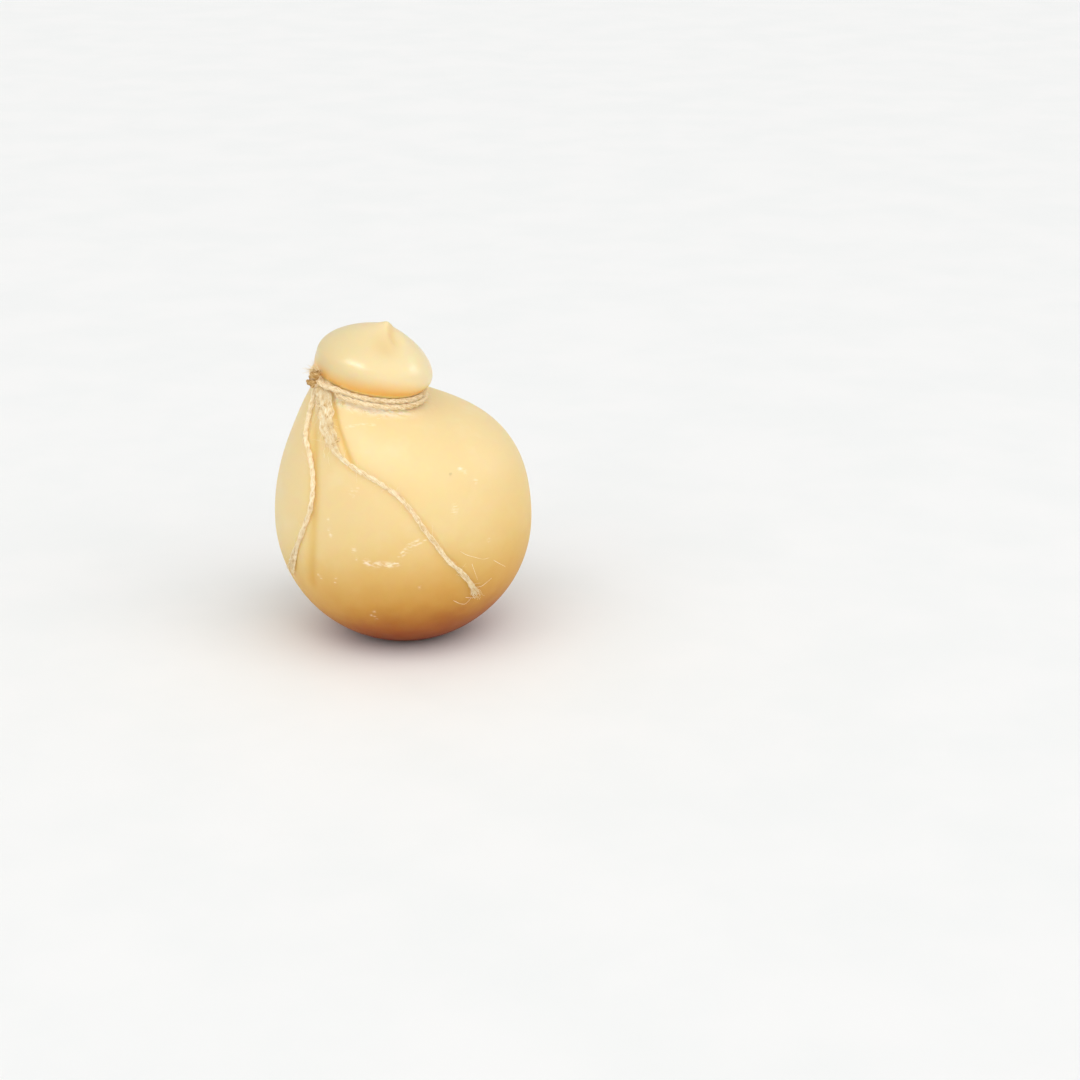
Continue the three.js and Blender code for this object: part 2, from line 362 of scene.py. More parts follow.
rindLook = {
    "pale": "#ebd49e",
    "butter": "#ead19a",
    "cream": "#f0e1bb",       # drier, lighter patches
    "lowerRightShade": "#e8c680",      # painted warm shade towards the lower right
    # painted shade on the head's left, painted light on its right
    "headLeftPaintedShade": "#e1cf9f",
    "headRightPaintedLight": "#ebdaad",
    # painted shade in the furrows
    "furrow": "#e6c57e",
    "fold": "#e8c470",        # painted shade in the groove beside the frayed bundle
    "under": "#efb456",       # painted shade below the head
    "slitLight": "#ffdf9c",     # painted light in the shaded slit right above the twine
    "bloom": "#faf3e2",
    "crownShade": "#dcb56c",      # painted shade in the fold and dish of the crown
    "chalk": "#fbf0d8",       # scuffs and flecks, and painted highlights on the belly
    # painted shade in a small pit
    "pitShade": "#5f4c2a",
    "footShadeTones": (            # height, and what the colour is multiplied by there: a little real amber, the rest painted shade towards the floor
        (0.000, "#883a08"), (0.006, "#92430d"), (0.014, "#a45a18"), (0.023, "#bb7c34"),
        (0.030, "#d1a359"), (0.037, "#e2bd79"), (0.045, "#ebce97"), (0.052, "#f0daad"),
        (0.060, "#f5e8c8"), (0.067, "#faf3e2"), (0.075, "#fdfaf1"), (0.085, "#ffffff"),
    ),
    "clouds": {               # size, low, high, stretch, detail
        "patches": (0.042, 0.35, 0.68, (1, 1, 1), 1.5),
        "dry": (0.013, 0.52, 0.80, (1, 1, 1), 2.0),
        "wobble": (0.020, 0.3, 0.7),      # in the height of the foot's painted shade
        "flour": (0.0030, 0.30, 0.62),
        "smear": (0.0013, 0.40, 0.66, (2.4, 2.4, 0.8)),
        "worn": (0.006, 0.4, 0.7),
        "ripple": (0.0030, 0.2, 0.8, (3, 3, 1)),
        "grain": (0.0007, 0.2, 0.8),
    },
    "amounts": {"dry": 0.22, "wobble": 0.05, "worn": 0.03, "ripple": 0.5, "grain": 0.3},
    "roughness": 0.46,
    "headRoughness": 0.28,
    "dustRoughness": 0.3,     # of bloom and scuffs
    "dustHeight": 0.8,
    "bump": (0.3, 0.00006),   # strength, and depth in metres
    "shader": {"IOR": 1.45, "Subsurface Weight": 0.75, "Subsurface Radius": (1.0, 0.5, 0.18),
               "Subsurface Scale": 0.006, "Specular IOR Level": 0.24},
}


def addRamp(tree, value, stops):   # colours at places from 0 to 1
    node = tree.nodes.new("ShaderNodeValToRGB")
    node.color_ramp.interpolation = "B_SPLINE"
    while len(node.color_ramp.elements) < len(stops):
        node.color_ramp.elements.new(0.5)
    for element, (place, code) in zip(node.color_ramp.elements, stops):
        element.position = place
        element.color = tone(code)
    feed(tree, node.inputs["Fac"], value)
    return node.outputs["Color"]


def makeRind(look):
    material, tree, shader = newMaterial("rind")

    def cloud(name):
        patch = addCloud(tree, *look["clouds"][name])
        return times(tree, patch, look["amounts"][name]) if name in look["amounts"] else patch

    def tint(under, name, factor=None):   # where its mask or the factor is
        return addBlend(tree, addMask(tree, name) if factor is None else factor, under, tone(look[name]))

    colour = addBlend(tree, cloud("patches"), tone(look["pale"]), tone(look["butter"]))
    # drier patches, then painted warm shade towards the lower right
    colour = tint(tint(colour, "cream", cloud("dry")), "lowerRightShade")
    # painted light and shade across the head
    head = addBlend(tree, addMask(tree, "headPaintedLightSide"), tone(look["headLeftPaintedShade"]), tone(look["headRightPaintedLight"]))
    colour = addBlend(tree, addMask(tree, "head"), colour, head)
    # painted shade in the crown's fold and dish, and in the furrows
    colour = tint(tint(colour, "crownShade"), "furrow")
    # painted shade: the rind darkens towards the floor, a little of it real amber
    tallest = look["footShadeTones"][-1][0]
    rise = addMaths(tree, "DIVIDE", addMask(tree, "height"), tallest)
    foot = addRamp(tree, plus(tree, rise, cloud("wobble")),
                   [(height / tallest, code) for height, code in look["footShadeTones"]])
    colour = addBlend(tree, 1.0, colour, foot, "MULTIPLY")
    # painted shade beside the bundle and under the head, painted light in the slit above the twine
    for name in ("fold", "under", "slitLight"):
        colour = tint(colour, name)
    flour = times(tree, addMask(tree, "bloom"), cloud("flour"))
    smear = times(tree, addMask(tree, "scuffAndHighlight"), cloud("smear"))
    # bloom, scuffs with painted highlights among the flecks, and painted shade in the pit
    colour = tint(tint(tint(colour, "bloom", flour), "chalk", smear), "pitShade")
    dusted = plus(tree, flour, smear)
    gloss = addRange(tree, addMask(tree, "head"), 0.0, 1.0, look["roughness"], look["headRoughness"])
    dull = times(tree, dusted, look["dustRoughness"])
    rough = plus(tree, plus(tree, gloss, cloud("worn")), dull)
    grain = plus(tree, cloud("ripple"), cloud("grain"))
    crust = times(tree, dusted, look["dustHeight"])
    setFinish(tree, shader, look, colour, rough, plus(tree, grain, crust))
    return material


def makeTwineFinish(name, look):
    material, tree, shader = newMaterial(name)
    strand = addMask(tree, "strand")      # each fibre has its own shade
    along = times(tree, addCloud(tree, look["fleckSize"], 0.3, 0.7), look["fleck"])
    shade = plus(tree, times(tree, strand, 1.0 - look["fleck"]), along)
    colour = addBlend(tree, addRange(tree, shade, *look["tanShades"]), tone(look["pale"]), tone(look["tan"]))
    colour = addBlend(tree, addRange(tree, shade, *look["strawShades"]), colour, tone(look["straw"]))
    straw = times(tree, addCloud(tree, *look["strawPatch"]), look["strawAmount"])
    colour = addBlend(tree, straw, colour, tone(look["straw"]))
    rough = plus(tree, look["roughness"], times(tree, along, look["fleckRoughness"]))
    setFinish(tree, shader, look, colour, rough, addCloud(tree, *look["fuzz"]))
    return material


twineLook = {
    "pale": "#fff1d2", "tan": "#dfc189", "straw": "#b48a4b",
    "tanShades": (0.0, 0.75),         # from these shades on
    "strawShades": (0.7, 1.0), "strawPatch": (0.004, 0.58, 0.72), "strawAmount": 0.35,
    "fleck": 0.3, "fleckSize": 0.0016, "fleckRoughness": 0.3, "roughness": 0.72,
    "fuzz": (0.00035, 0.2, 0.8), "bump": (0.4, 0.00005),
    "shader": {"Specular IOR Level": 0.25},
}

fibreLook = dict(twineLook, pale="#fff6dc", tan="#ecd3a0", straw="#b58b4c", fleck=0.45, fleckSize=0.0024,
                 roughness=0.78)

lintLook = dict(twineLook, pale="#fff3dc", tan="#ffe7c4", straw="#ecd2a4", strawAmount=0.1, fleck=0.4,
                fleckSize=0.0024, roughness=0.85, shader={"Specular IOR Level": 0.25, "Sheen Weight": 0.1})

rindFinish = makeRind(rindLook)
twineFinish = makeTwineFinish("twine", twineLook)
fibreFinish = makeTwineFinish("fibre", fibreLook)
lintFinish = makeTwineFinish("lint", lintLook)
print("materials made")


# mesh helpers

upAside = (0.31, 0.42, 0.85)      # a direction that no strand follows


def newPiece(name, points, faces, material, masks=None):
    mesh = bpy.data.meshes.new(name)
    mesh.from_pydata(points, [], faces)
    for label, values in (masks or {}).items():
        layer = mesh.attributes.new(label, "FLOAT", "POINT")
        layer.data.foreach_set("value", np.asarray(values, dtype=np.float32).ravel())
    mesh.polygons.foreach_set("use_smooth", [True] * len(mesh.polygons))
    mesh.materials.append(material)
    mesh.update()
    piece = bpy.data.objects.new(name, mesh)
    link(piece)
    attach(piece, "root")
    return piece


def smoothRoute(points, step):   # an even walk along a smooth curve through the points
    points = np.asarray(points, dtype=float)
    walk = np.vstack([2 * points[0] - points[1], points, 2 * points[-1] - points[-2]])
    gaps = np.sqrt(np.linalg.norm(np.diff(walk, axis=0), axis=1))[:, None, None]
    before, start, end, after = (walk[at:len(walk) - 3 + at, None] for at in range(4))
    first, second, third = (gaps[at:len(gaps) - 2 + at] for at in range(3))
    leave = second * ((start - before) / first - (end - before) / (first + second) + (end - start) / second)
    reach = second * ((end - start) / second - (after - start) / (second + third) + (after - end) / third)
    t = np.linspace(0, 1, 16, endpoint=False)[:, None]
    dense = (start * (2 * t ** 3 - 3 * t ** 2 + 1) + leave * (t ** 3 - 2 * t ** 2 + t)
             + end * (3 * t ** 2 - 2 * t ** 3) + reach * (t ** 3 - t ** 2))
    dense = np.vstack([dense.reshape(-1, 3), points[-1:]])
    length = np.linalg.norm(np.diff(dense, axis=0), axis=1).sum()
    return evenPoints(dense, max(int(round(length / step)), 2) + 1), length


def framesAlong(spine):   # two directions square to the spine
    ahead = unit(np.gradient(spine, axis=0))
    across = np.empty_like(spine)
    side = np.cross(ahead[0], upAside)
    for stop in range(len(spine)):
        side = side - ahead[stop] * side.dot(ahead[stop])
        side = side / np.linalg.norm(side)
        across[stop] = side
    return ahead, across, np.cross(ahead, across)


def roundAbout(radius, angle, across, over):   # steps off a strand's middle
    return (radius * np.cos(angle))[..., None] * across + (radius * np.sin(angle))[..., None] * over


def quadRows(base, sides):   # faces between rings of points
    here, beside = base + np.arange(sides), base + (np.arange(sides) + 1) % sides
    return np.stack([here, beside, beside + sides, here + sides], axis=-1).reshape(-1, 4).tolist()


def sweepTubes(lines, thick, sides):   # lines: tubes x stops x 3, thick: tubes x stops
    count, stops = lines.shape[:2]
    ahead = unit(np.gradient(lines, axis=1))
    across = np.cross(ahead[:, 0], upAside)
    angle = 2 * math.pi * np.arange(sides) / sides
    rings = np.empty((count, stops, sides, 3))
    for stop in range(stops):
        run = ahead[:, stop]
        across = unit(across - run * (across * run).sum(axis=1, keepdims=True))
        spokes = roundAbout(1.0, angle, across[:, None], np.cross(run, across)[:, None])
        rings[:, stop] = lines[:, stop, None] + spokes * thick[:, stop, None, None]
    base = (np.arange(count)[:, None, None] * stops * sides
            + np.arange(stops - 1)[None, :, None] * sides)
    tubeStart = np.arange(count)[:, None] * stops * sides
    caps = (tubeStart + np.arange(sides)[::-1]).tolist()
    caps += (tubeStart + (stops - 1) * sides + np.arange(sides)).tolist()
    return rings.reshape(-1, 3), quadRows(base, sides) + caps


class FibreHeap:   # gathers tubes of one piece, each tube with its own shade
    def __init__(self):
        self.points, self.faces, self.shades = [], [], []

    def add(self, lines, thick, sides, shades):
        points, faces = sweepTubes(lines, np.broadcast_to(thick, lines.shape[:2]), sides)
        offset = sum(len(part) for part in self.points)
        self.points.append(points)
        self.faces += [[corner + offset for corner in face] for face in faces]
        self.shades.append(np.repeat(shades, lines.shape[1] * sides))

    def strew(self, rng, lines, thick, shades, sides=4, taper=0.0):   # thickness and shade by chance
        count, stops = lines.shape[:2]
        thick = rng.uniform(*thick, (count, 1)) * (1 - taper * steps(stops))
        self.add(lines, thick, sides, rng.uniform(*shades, count))

    def piece(self, name, material, slotName):
        piece = newPiece(name, np.vstack(self.points).tolist(), self.faces, material,
                         {"strand": np.concatenate(self.shades)})
        piece.visible_shadow = False      # thin fibres let the soft light through
        return piece


def wander(rng, count, walk, length, amount=1.0):   # smooth random sway of each line
    sway = np.zeros((count, len(walk)))
    for share, stretch in ((0.65, 1.0), (0.35, 0.45)):
        wave = rng.uniform(0.7, 1.4, (count, 1)) * length * stretch
        sway += share * np.sin(2 * math.pi * walk / wave + rng.uniform(0, 2 * math.pi, (count, 1)))
    return amount * sway


ropeLook = {
    "radius": 0.00125, "plies": 2,
    "plyShare": 0.68,         # of the rope's radius
    "lay": 0.0078,            # length of one full twist
    "looseLay": 0.022,        # the twist opens towards a bare end
    "looseFrom": 0.45, "looseSwell": 0.12,
    "coreShare": 0.8,         # of the ply's radius
    "fibres": 14, "fibreRadius": 0.00016, "fibreLay": 0.013,
    "step": 0.0008,
    "spinSway": (0.009, 0.35),        # length and amount of the sway round the ply
    "ringSway": (0.007, 0.16),        # and in and out
    "sink": 0.0004,           # the tails lie this much below their routes
    "endSink": 0.0010,        # and this much more at their ends
    "shades": (0.0, 0.45),    # from pale to tan
    # the cores show between the fibres; their darker tone is painted shade in the gaps
    "coreGapShade": 0.8,
    "fan": 0.0,               # half the width that a bare end opens to
    "fanStart": 0.7,
    "fanStrands": ((-1.0, 0.15), (-0.45, 0.8)),      # where the strands of each ply end up
    "fanLess": (0.8, 0.9, 0.7),       # what the twist, core and plies lose where it is open
    "fanSpread": 0.06,
}


def layRope(heap, route, look, rng, loosen=0.0, normals=None):   # plies of fibres along a route
    spine, length = smoothRoute(route, look["step"])
    ahead, across, over = framesAlong(spine)
    walk = np.linspace(0, length, len(spine))
    part = walk / length
    opened = loosen * smoothStep(part, look["looseFrom"], 1.0)
    lay = mixed(look["lay"], look["looseLay"], opened)
    twist = 2 * math.pi * np.concatenate([[0], np.cumsum(np.diff(walk) / lay[1:])])
    plyRadius = look["radius"] * look["plyShare"]
    fibreRing = plyRadius - look["fibreRadius"]
    fanned = np.zeros(len(spine))
    twistLess, coreLess, ringLess = look["fanLess"]
    if look["fan"]:
        fanned = smoothStep(part, look["fanStart"], 1.02)
        aside = unit(np.cross(ahead, readAlong(part, steps(len(normals)), normals)))
    for ply in range(look["plies"]):
        angle = twist + 2 * math.pi * ply / look["plies"]
        shift = (look["radius"] - plyRadius) * (1 - twistLess * fanned)
        middle = spine + roundAbout(shift, angle, across, over)
        core = plyRadius * look["coreShare"] * (1 - coreLess * smoothStep(fanned, 0.0, 0.5))
        # a darker core: painted shade in the gaps between fibres
        heap.add(middle[None], core[None], 8, look["coreGapShade"])
        count = look["fibres"]
        spin = (2 * math.pi * (np.arange(count)[:, None] / count - walk / look["fibreLay"]) + angle
                + wander(rng, count, walk, *look["spinSway"]))
        ring = 1 + wander(rng, count, walk, *look["ringSway"]) + look["looseSwell"] * opened
        ring = fibreRing * ring * (1 - ringLess * fanned)
        lines = middle[None] + roundAbout(ring, spin, across, over)
        if look["fan"]:
            strand = rng.choice(look["fanStrands"][ply], (count, 1))
            strand = strand + rng.normal(0, look["fanSpread"], (count, 1))
            lines = lines + (look["fan"] * strand * fanned)[..., None] * aside
        thick = look["fibreRadius"] * rng.uniform(0.8, 1.25, (count, 1))
        heap.add(lines, thick, 5, rng.uniform(*look["shades"], count))
    return spine, length


hairLook = {"thick": (0.000042, 0.000078), "stops": 7, "sides": 3, "taper": 0.6}


def addHairs(heap, spine, outward, count, reach, rng, start=0.0011):   # loose ends off a strand
    stops = rng.integers(1, len(spine) - 1, count)
    ahead = unit(np.gradient(spine, axis=0))[stops] * rng.choice((-1.0, 1.0), (count, 1))
    out = unit(outward[stops] * rng.uniform(0.35, 1.0, (count, 1)) + rng.normal(0, 0.6, (count, 3)))
    lengths = rng.uniform(*reach, (count, 1, 1))
    t = steps(hairLook["stops"])[None, :, None]
    curl = rng.normal(0, 0.35, (count, 1, 3))
    aim = unit(ahead * rng.uniform(0.5, 1.3, (count, 1)) + out * rng.uniform(0.3, 0.9, (count, 1)))
    lines = spine[stops][:, None] + out[:, None] * start * 0.6 + lengths * (t * aim[:, None] + t * t * curl)
    heap.strew(rng, lines, hairLook["thick"], (0.0, 0.6), hairLook["sides"], hairLook["taper"])


# tails: the two free ends of the twine, as turn, height and lift off the side

tailLeft = {
    # paler than the right tail: painted light on the left tail
    "rope": {"lay": 0.0105, "shades": (0.0, 0.3), "coreGapShade": 0.45, "fan": 0.0021, "fanStart": 0.64},
    "route": (      # turn, height
        (207.6, 0.1256), (208.0, 0.1244), (208.6, 0.1226), (210.0, 0.1204), (211.4, 0.1174),
        (212.6, 0.1142), (213.8, 0.1114), (216.0, 0.1088), (219.0, 0.1060), (221.4, 0.1032),
        (223.2, 0.1002), (225.4, 0.0962), (227.0, 0.0908), (227.6, 0.0848), (227.2, 0.0792),
        (226.0, 0.0740), (223.8, 0.0684), (221.0, 0.0626), (217.8, 0.0566), (214.4, 0.0506),
        (211.0, 0.0450),
    ),
    "lifts": ((0.0042, 0.0030, 0.0021, 0.0018), 0.0017, (0.0018, 0.0021, 0.0026)),    # start, rest, end
    "hairs": 150, "hairReach": (0.0012, 0.0042),
    "clumps": ((-7.0, 0.0040), (-4.0, 0.0062), (-1.0, 0.0058), (1.0, 0.0040)),    # turn aside, drop
    "strays": (),
    "seed": 11,
}

tailRight = {
    "rope": {"lay": 0.0115, "shades": (0.0, 0.55), "coreGapShade": 0.7, "fan": 0.0014, "fanStart": 0.86},
    "route": (      # turn, height
        (243.1, 0.1059), (245.2, 0.1043), (248.2, 0.1029), (251.8, 0.1018), (255.0, 0.1005),
        (258.2, 0.0991), (261.5, 0.0976), (264.4, 0.0961), (267.0, 0.0945), (269.6, 0.0926),
        (272.2, 0.0903), (274.5, 0.0878), (276.5, 0.0850), (278.3, 0.0821), (280.1, 0.0790),
        (281.7, 0.0759), (283.6, 0.0727), (286.0, 0.0689), (288.3, 0.0648), (290.5, 0.0610),
        (292.8, 0.0577), (295.1, 0.0549), (297.5, 0.0521), (300.0, 0.0489), (302.6, 0.0454),
        (305.2, 0.0416),
    ),
    "lifts": ((), 0.0017, (0.0018, 0.0020, 0.0023, 0.0026)),
    "hairs": 170, "hairReach": (0.0012, 0.0050),
    "clumps": ((2.0, 0.0066), (3.6, 0.0078), (5.2, 0.0088), (6.6, 0.0080), (7.6, 0.0070)),
    "strays": (      # long loose hairs that lie on the side
        ((298.0, 0.0620), (300.5, 0.0600), (304.0, 0.0582), (309.2, 0.0556), (313.2, 0.0550)),
        ((316.0, 0.0528), (318.0, 0.0512), (322.0, 0.0484), (325.5, 0.0460)),
        ((303.8, 0.0542), (305.0, 0.0502), (308.0, 0.0444)),
        ((307.0, 0.0400), (310.8, 0.0404), (313.2, 0.0416), (316.8, 0.0426)),
        ((297.0, 0.0346), (301.0, 0.0324), (304.0, 0.0316), (307.0, 0.0340)),
        ((303.5, 0.0350), (307.0, 0.0346), (311.8, 0.0332)),
    ),
    "seed": 12,
}


frayLook = {
    "fibres": 8, "stops": 14, "thick": (0.00008, 0.00020),      # of each clump
    "spread": 1.1, "reach": (0.6, 1.15), "scatter": 0.00045,
    "sway": (0.5, 0.0003),      # of the turn and the height
    "liftSpread": 0.0004, "fall": 0.0016, "floor": 0.0003,
    "strayLifts": (0.0003, 0.0012), "strayRadius": 0.00011, "strayStep": 0.0012,
}


def frayEnd(heap, tail, rng):   # the bare end opens into a few clumps of fibres
    look, count = frayLook, frayLook["fibres"]
    swayTurn, swayHeight = look["sway"]
    (startTurn, startHeight), (turn, height) = tail["route"][-2:]
    t = steps(look["stops"])
    for aside, drop in tail["clumps"]:
        spread = rng.normal(0, look["spread"], (count, 1))
        reach = rng.uniform(*look["reach"], (count, 1))
        sway = wander(rng, count, t, 0.8)
        turns = startTurn + (turn - startTurn + (aside + spread) * reach + swayTurn * sway) * t
        heights = startHeight - (startHeight - height + drop * reach - swayHeight * sway) * t
        lifts = tail["lifts"][2][-1] - ropeLook["endSink"] + rng.normal(0, look["liftSpread"], (count, 1))
        lifts = lifts - rng.uniform(0.0, 0.7, (count, 1)) * look["fall"] * t
        lines = offSide(turns, heights, np.maximum(lifts, look["floor"]))
        lines += rng.normal(0, look["scatter"], (count, 1, 3)) * (1 - t)[None, :, None]
        heap.strew(rng, lines, look["thick"], (0.0, 0.9), taper=0.55)


def makeTail(name, nodeName, tail):
    rng = np.random.default_rng(tail["seed"])
    turns, heights = np.array(tail["route"]).T
    first, lift, last = tail["lifts"]
    lifts = np.array(first + (lift,) * (len(turns) - len(first) - len(last)) + last)
    route, normals = offSide(turns, heights, lifts), sideNormal(turns, heights)
    stops = steps(len(turns))
    flattened = smoothStep(stops, 0.75, 1.0)
    laid = offSide(turns, heights, lifts - ropeLook["sink"] - ropeLook["endSink"] * flattened)
    heap, fuzz = FibreHeap(), FibreHeap()
    spine, length = layRope(heap, laid, dict(ropeLook, **tail["rope"]), rng, 1.0, normals)
    rope = heap.piece(name, twineFinish, "twine")
    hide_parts(nodeName)
    outward = readAlong(steps(len(spine)), stops, normals)
    addHairs(fuzz, spine, outward, tail["hairs"], tail["hairReach"], rng)
    frayEnd(fuzz, tail, rng)
    for stray in tail["strays"]:
        turns, heights = np.array(stray).T
        lifts = mixed(*frayLook["strayLifts"], np.sin(np.linspace(0, math.pi, len(turns))))
        line = smoothRoute(offSide(turns, heights, lifts), frayLook["strayStep"])[0]
        thick = frayLook["strayRadius"] * np.linspace(1.0, 0.5, len(line))
        fuzz.add(line[None], thick[None], 4, 0.2)
    fray = fuzz.piece(name + "_fray", fibreFinish, "twine")
    return rope, fray, route, length


for side, tail in (("left", tailLeft), ("right", tailRight)):
    rope, fray, route, length = makeTail("tail_rope_" + side, "tail_" + side, tail)
    print("tail", side, "is", round(length * 1000), "mm long")


# cheese: one skin from the foot to the crown, with its marks as masks

marks = {
    "smear": ((256.4, 0.0584), (259.2, 0.0572), (263.8, 0.0580), (267.0, 0.0574), (270.8, 0.0584)),
    "smearWidth": 0.0012,
    "scratches": (
        ((271.0, 0.0622), (274.0, 0.0660), (278.5, 0.0676), (282.6, 0.0698)),
        ((272.6, 0.0626), (276.0, 0.0650)),
        ((274.4, 0.0676), (279.6, 0.0700)),
        ((245.6, 0.1180), (251.0, 0.1190), (259.0, 0.1203), (268.6, 0.1205)),
    ),
    "scratchWidth": 0.0005,
    "scratch": 0.8,      # strength of a scratch and of a fleck
    "fleck": 0.9,
    "flecksAndHighlights": (     # turn, height, width; the three near turn 250 at 90 to 93 mm and the three from turn 304 to 311 are painted highlights
        (248.8, 0.0919, 0.0011), (251.8, 0.0932, 0.0009), (250.2, 0.0902, 0.0007), (239.5, 0.0696, 0.0010),
        (238.6, 0.0722, 0.0007), (238.0, 0.0770, 0.0006), (251.2, 0.0642, 0.0011), (252.2, 0.0593, 0.0008),
        (231.8, 0.0449, 0.0009), (230.6, 0.0464, 0.0006), (240.8, 0.0469, 0.0009), (240.2, 0.0446, 0.0006),
        (257.5, 0.0295, 0.0008), (257.0, 0.0262, 0.0007), (257.6, 0.0240, 0.0008), (255.4, 0.0270, 0.0006),
        (280.0, 0.0449, 0.0007), (304.8, 0.1005, 0.0012), (306.4, 0.0986, 0.0009), (310.5, 0.0937, 0.0011),
        (297.0, 0.0838, 0.0014), (296.0, 0.0816, 0.0012), (313.0, 0.0642, 0.0008), (271.2, 0.0919, 0.0009),
    ),
    # a small pit's painted shade: turn, height, width
    "pitShade": (298.5, 0.0989, 0.0004),
}


maskLook = {
    "footShadeSlope": (3.0, 1.0, 0.08, 0.020),      # painted foot shade: its fall to the left and right, tilt, its end
    "lowerRightShade": 0.8, "lowerRightShadeAcross": (0.028, 0.064), "lowerRightShadeFade": (0.075, 0.110),
    # painted shade along the crown's crease and in its dish
    "crownShade": 0.36, "crownShadeWidth": 0.0024, "crownShadeFade": (0.3, 1.0), "dish": 0.35,
    "groove": 0.1305,      # the height between the body and the head
    "under": 0.95, "underLow": 0.1340, "slitLight": (0.1336, 0.1356),
    "rim": (0.1400, 0.1460), "rimTurn": 295, "rimWidth": 45,      # of the painted shade below the head
    "head": (0.134, 0.138), "headPaintedLightSide": (-0.036, 0.014),
    "bloom": (0.1225, 0.1275), "bloomFrom": (226, 240), "bloomTo": (296, 330), "bloomRear": 0.2,
}


def farFrom(points, turn, height):   # distance of each point from a spot on the side
    return np.linalg.norm(points - offSide(turn, height, 0.0), axis=1)


def farFromTrail(points, trail):
    turns, heights = np.array(trail).T
    t, stops = np.linspace(0, len(turns) - 1, 12 * len(turns)), np.arange(len(turns))
    spots = zip(np.interp(t, stops, turns), np.interp(t, stops, heights))
    return np.min([farFrom(points, turn, height) for turn, height in spots], axis=0)


def paintMasks(points, turn, radius, height):
    form, look, masks = cheeseForm, maskLook, {}
    across, above = points[:, 0], height > look["groove"]
    left, right, tilt, tiltEnd = look["footShadeSlope"]
    slope = np.where(across < 0, left, right) * across ** 2 - tilt * np.minimum(across, tiltEnd)
    masks["height"] = np.clip(height + slope, 0, 1)      # the foot's painted shade goes by this
    # painted warm shade towards the lower right
    masks["lowerRightShade"] = (look["lowerRightShade"] * smoothStep(across, *look["lowerRightShadeAcross"])
                       * (1 - smoothStep(height, *look["lowerRightShadeFade"])))
    x, y = flatPlace(turn, radius)
    away, _, along = creaseSides(x, y)
    dishX, dishY, _, width = form["crownDish"]
    # painted shade along the crown's crease and in its dish
    crownShade = look["crownShade"] * bell(away, look["crownShadeWidth"]) * (1 - smoothStep(along, *look["crownShadeFade"]))
    crownShade = crownShade + look["dish"] * bell(np.hypot(x - dishX, y - dishY), width)
    masks["crownShade"] = crownShade * (height > form["headHeight"])
    # painted shade in the furrows' grooves
    for furrow in form["furrows"]:
        masks[furrow["mask"]] = furrow["tint"] * furrowMask(turn, radius, height, furrow)
    # painted shade under the head, reaching higher towards the front right
    aside = (turn - look["rimTurn"] + 180) % 360 - 180
    rim = mixed(*look["rim"], bell(aside, look["rimWidth"]))
    masks["under"] = look["under"] * (1 - smoothStep(height, look["underLow"], rim)) * above
    # painted light in the shaded slit between the head and the twine
    masks["slitLight"] = (1 - smoothStep(height, *look["slitLight"])) * above
    masks["head"] = smoothStep(height, *look["head"])
    # from painted shade on the head's left to painted light on its right
    masks["headPaintedLightSide"] = smoothStep(across, *look["headPaintedLightSide"])
    front = smoothStep(turn, *look["bloomFrom"]) * (1 - smoothStep(turn, *look["bloomTo"]))
    masks["bloom"] = smoothStep(height, *look["bloom"]) * ~above * mixed(look["bloomRear"], 1.0, front)
    # smears, scratches and flecks, and painted highlights among the flecks
    scuffs = [bell(farFromTrail(points, marks["smear"]), marks["smearWidth"])]
    for trail in marks["scratches"]:
        scuffs.append(marks["scratch"] * bell(farFromTrail(points, trail), marks["scratchWidth"]))
    for markTurn, markHeight, width in marks["flecksAndHighlights"]:
        scuffs.append(marks["fleck"] * bell(farFrom(points, markTurn, markHeight), width))
    masks["scuffAndHighlight"] = np.max(scuffs, axis=0)
    # painted shade in a small pit
    pitTurn, pitHeight, width = marks["pitShade"]
    masks["pitShade"] = bell(farFrom(points, pitTurn, pitHeight), width)
    return masks


def makeCheese(form):
    outline = []
    for part, rows in zip(outlineParts, form["rows"]):
        outline.append(evenPoints(part, rows + 1)[1 if outline else 0:])
    outline = np.vstack(outline)[:-1]
    rowCount, columns, top = len(outline), form["columns"], form["crownHeight"]
    even = np.arange(columns) * 360.0 / columns
    turns = even - np.degrees(form["crowdAmount"]) * np.sin(np.radians(even - form["crowdTurn"]))
    turn, radius = np.meshgrid(turns % 360, outline[:, 0])
    height = np.broadcast_to(outline[:, 1:], turn.shape)
    raised = height + crownRelief(turn, radius, height)
    points = leaned(turn, radius + sideRelief(turn, radius, height), raised).reshape(-1, 3)
    crown = top + crownRelief(*np.array([[0.0], [0.0], [top]]))[0]
    points = np.vstack([points, leaned(0.0, 0.0, 0.0), leaned(0.0, 0.0, crown)])
    faces = quadRows(np.arange(rowCount - 1)[:, None] * columns, columns)
    last, foot = (rowCount - 1) * columns, rowCount * columns      # the crown's point follows
    for column in range(columns):
        after = (column + 1) % columns
        faces.append((foot, after, column))
        faces.append((foot + 1, last + column, last + after))
    turn, radius = (np.append(values.ravel(), [0.0, 0.0]) for values in (turn, radius))
    height = np.append(height.ravel(), [0.0, top])
    piece = newPiece("cheese_rind", points.tolist(), faces, rindFinish,
                     paintMasks(points, turn, radius, height))
    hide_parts("cheese")


makeCheese(cheeseForm)
print("cheese made")


# twine round the neck: two turns that roll over each other once at the front left

